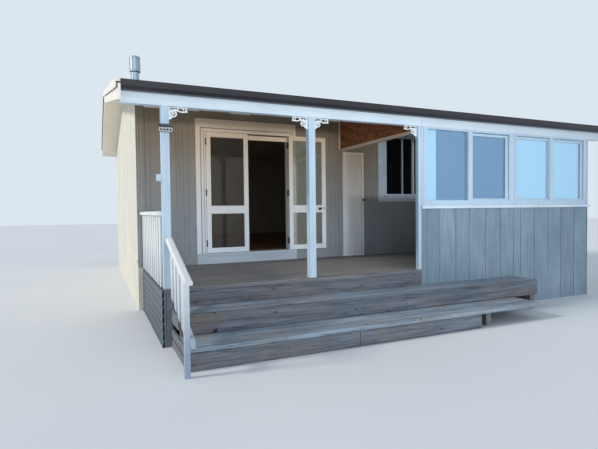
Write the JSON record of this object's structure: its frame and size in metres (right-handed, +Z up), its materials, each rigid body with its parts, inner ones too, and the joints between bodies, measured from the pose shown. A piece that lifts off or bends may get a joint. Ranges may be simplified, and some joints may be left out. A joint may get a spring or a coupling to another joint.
{
  "type": "beach house",
  "caption": "Timber beach house with a low gable roof carried over a posted porch, glazed double doors, scroll brackets, wide timber steps and a closed sun porch.",
  "frame": {"origin": "on the ground under the middle of the whole outline", "axes": "+X along the front to the right, +Y to the back, +Z up"},
  "size_m": [8.0176, 10.11, 4.4632],
  "materials": {
    "wall_paint": "matte light grey paint on timber",
    "white_paint": "white gloss paint on timber",
    "weathered_timber": "bare weathered grey timber",
    "cream_lining": "cream painted lining",
    "brown_ply": "dark brown stained board",
    "charcoal_metal": "dark pre-painted sheet",
    "roofing": "light corrugated sheet",
    "steel": "brushed steel",
    "clear_glass": "clear window glass",
    "dark_plastic": "dark plastic"
  },
  "bodies": {
    "house": {"left_wall": "wall_paint", "right_wall": "wall_paint", "back_wall": "wall_paint", "front_wall_left": "wall_paint", "front_wall_over_doors": "wall_paint", "front_wall_middle": "wall_paint", "front_wall_over_cupboard": "wall_paint", "front_wall_right": "wall_paint", "house_floor": "weathered_timber", "porch_deck": "weathered_timber", "deck_frame": "weathered_timber", "deck_front_board": "weathered_timber", "left_skirt": "wall_paint", "upper_step": "weathered_timber", "lower_step": "weathered_timber", "step_side_boards": "weathered_timber", "left_post": "white_paint", "middle_post": "white_paint", "right_post": "white_paint", "front_beam": "white_paint", "front_gutter": "charcoal_metal", "front_ceiling": "cream_lining", "rear_ceiling": "cream_lining", "front_rafters": "weathered_timber", "rear_rafters": "weathered_timber", "front_roofing": "roofing", "rear_roofing": "roofing", "ridge_cap": "roofing", "left_barge_board": "white_paint", "right_barge_board": "white_paint", "barge_caps": "white_paint", "rear_fascia": "white_paint", "infill_panel": "brown_ply", "infill_trim": "cream_lining", "left_bracket": "white_paint", "middle_bracket_left": "white_paint", "middle_bracket_right": "white_paint", "right_bracket": "white_paint", "door_casing": "white_paint", "door_plinth": "white_paint", "cupboard_frame": "white_paint", "inner_window_frame": "white_paint", "inner_window_glass": "clear_glass", "sunporch_low_wall": "wall_paint", "sunporch_sill": "white_paint", "sunporch_windows": "white_paint", "sunporch_glass": "clear_glass", "sunporch_side_wall": "wall_paint", "side_rail": "white_paint", "stair_rail": "white_paint", "flue": "steel", "porch_lamp": "dark_plastic"},
    "left_door": {"left_door": "white_paint", "left_door_glass": "clear_glass"},
    "right_door": {"right_door": "white_paint", "right_door_glass": "clear_glass"},
    "cupboard_door": {"cupboard_door": "white_paint"}
  },
  "joints": [
    {"name": "left_door_hinge", "type": "hinge", "parent": "house", "child": "left_door", "pos_m": [-2.5555, -1.742, 1.2], "axis": [0, 0, -1], "range_deg": [0, 175]},
    {"name": "right_door_hinge", "type": "hinge", "parent": "house", "child": "right_door", "pos_m": [-1.1155, -1.742, 1.2], "axis": [0, 0, -1], "range_deg": [0, 180]},
    {"name": "cupboard_hinge", "type": "hinge", "parent": "house", "child": "cupboard_door", "pos_m": [0.09025, -1.742, 1.2], "axis": [0, 0, -1], "range_deg": [0, 95]}
  ]
}
